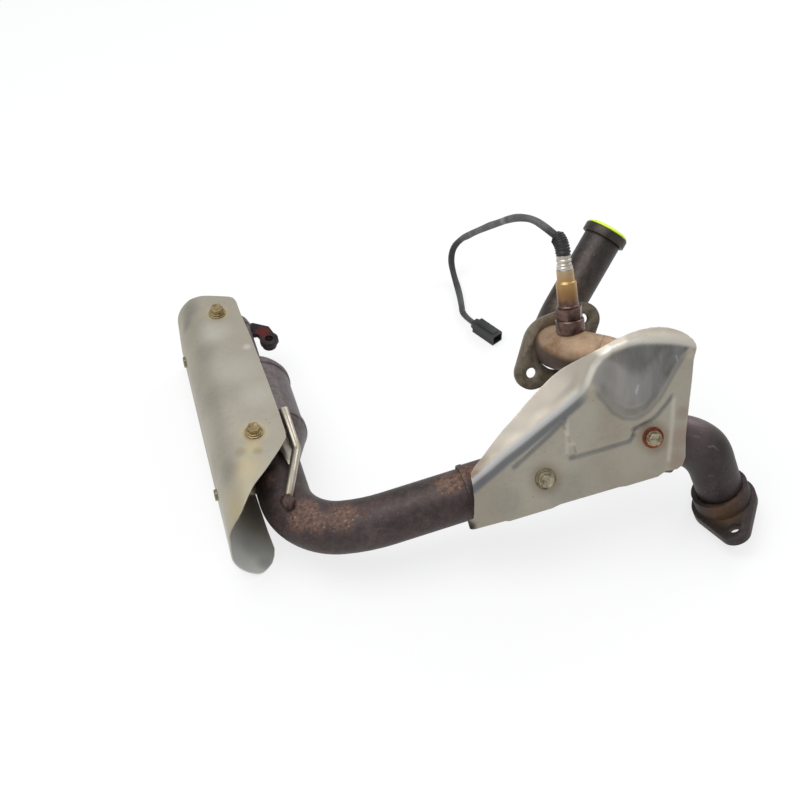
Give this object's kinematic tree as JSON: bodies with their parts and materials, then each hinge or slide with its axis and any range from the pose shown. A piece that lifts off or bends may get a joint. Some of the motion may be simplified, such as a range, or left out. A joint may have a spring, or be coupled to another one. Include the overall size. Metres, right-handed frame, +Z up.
{
  "type": "exhaust system",
  "caption": "Two header exhaust manifold with catalyst can, pressed heat shields, flanged ports and an oxygen sensor on its lead.",
  "frame": {"origin": "Middle of the plan box of the metal parts, on the table they lie on", "axes": "+Z up off the table, +X from the catalyst can towards the rear port flange, +Y away from the long main pipe towards the front header"},
  "size_m": [0.5704, 0.454, 0.2717],
  "materials": {
    "boot": "matte",
    "bracket": "matte with rust",
    "can": "heat tinted",
    "core": "matte",
    "elbow": "tan heat tint",
    "fastener": "rusty",
    "ferrule": "bright",
    "header": "heat tinted with rust",
    "lead": "matte",
    "left_sheet": "satin",
    "mat": "matte",
    "pipe": "heat tinted with rust",
    "plug": "satin",
    "right_sheet": "satin",
    "sensor": "straw heat tint"
  },
  "bodies": {
    "root": {"catalyst_core": "core", "catalyst_mat": "mat", "catalyst_shell": "can", "collector": "pipe", "connector": "boot", "coupling_sleeve": "pipe", "front_flange": "header", "front_header": "header", "hanger_bracket": "bracket", "hanger_nut": "bracket", "inlet_cone": "can", "left_shield": "left_sheet", "left_shield_bush_back": "fastener", "left_shield_bush_front": "fastener", "left_shield_bush_side_back": "fastener", "left_shield_bush_side_front": "fastener", "left_shield_screw_back": "fastener", "left_shield_screw_front": "fastener", "left_shield_screw_side_back": "fastener", "left_shield_screw_side_front": "fastener", "left_shield_washer_back": "fastener", "left_shield_washer_front": "fastener", "main_pipe": "pipe", "outlet_cone": "can", "outlet_pipe": "can", "port_collar": "header", "port_plug": "plug", "rear_flange": "header", "rear_header": "header", "right_shield": "right_sheet", "right_shield_bush_left": "fastener", "right_shield_bush_right": "fastener", "right_shield_screw_left": "fastener", "right_shield_screw_right": "fastener", "right_shield_washer_left": "fastener", "right_shield_washer_right": "fastener", "rod_stay": "bracket", "sensor_boot": "boot", "sensor_boss": "sensor", "sensor_elbow": "elbow", "sensor_ferrule": "ferrule", "sensor_hex": "sensor", "sensor_lead": "lead", "sensor_shell": "sensor", "sensor_tip": "sensor", "stay_gusset": "bracket"}
  },
  "joints": []
}
